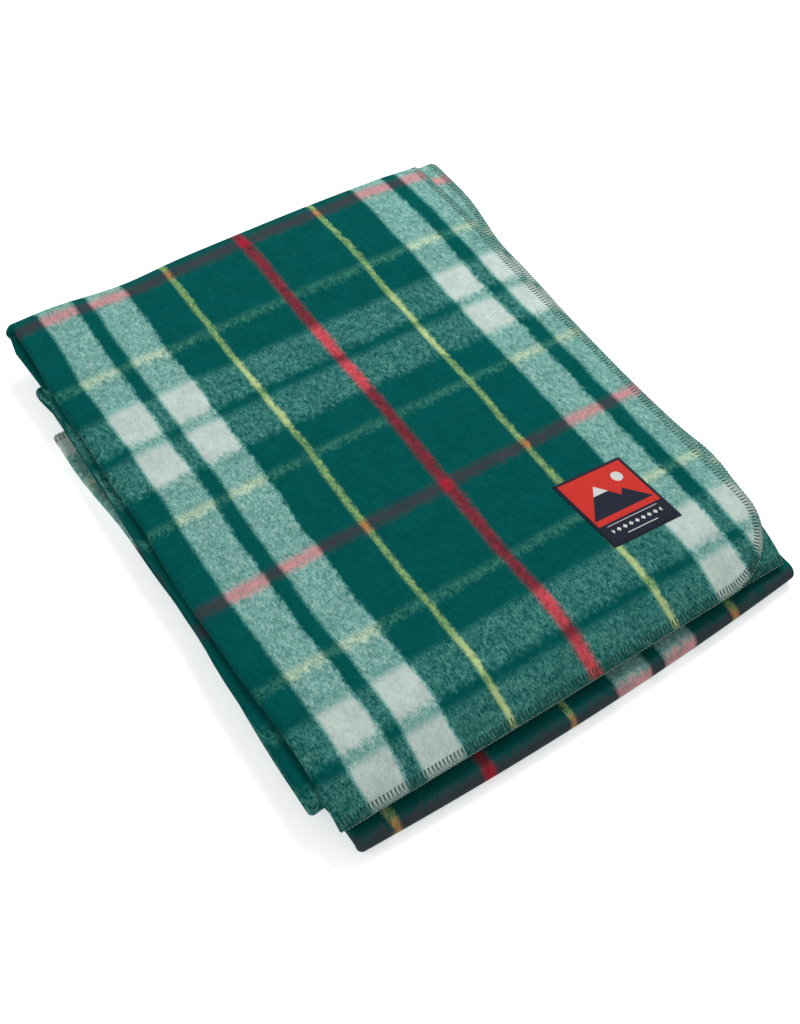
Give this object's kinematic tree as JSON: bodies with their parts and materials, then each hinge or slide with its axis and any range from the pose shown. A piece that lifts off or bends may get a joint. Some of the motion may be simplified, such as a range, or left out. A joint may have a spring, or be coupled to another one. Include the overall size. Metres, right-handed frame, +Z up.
{
  "type": "camp blanket",
  "caption": "Folded tartan wool camp blanket, four plies by five panels, with an overlocked edge, rounded corners and a sewn woven label.",
  "frame": {"origin": "centre of the folded stack's footprint, on the surface it rests on", "axes": "+X along the width folds towards the free side edges, +Y along the panels from the front fold to the back fold, +Z up through the stack"},
  "size_m": [0.3948, 0.498, 0.0408],
  "materials": {
    "wool_tartan": "matt",
    "overlock_thread": "satin",
    "label_weave": "satin",
    "label_thread": "satin"
  },
  "bodies": {
    "root": {"blanket_cloth": "wool_tartan", "overlock_needle_thread": "overlock_thread", "overlock_upper_looper": "overlock_thread", "overlock_lower_looper": "overlock_thread", "woven_label": "label_weave", "label_needle_thread": "label_thread", "label_bobbin_thread": "label_thread"}
  },
  "joints": []
}
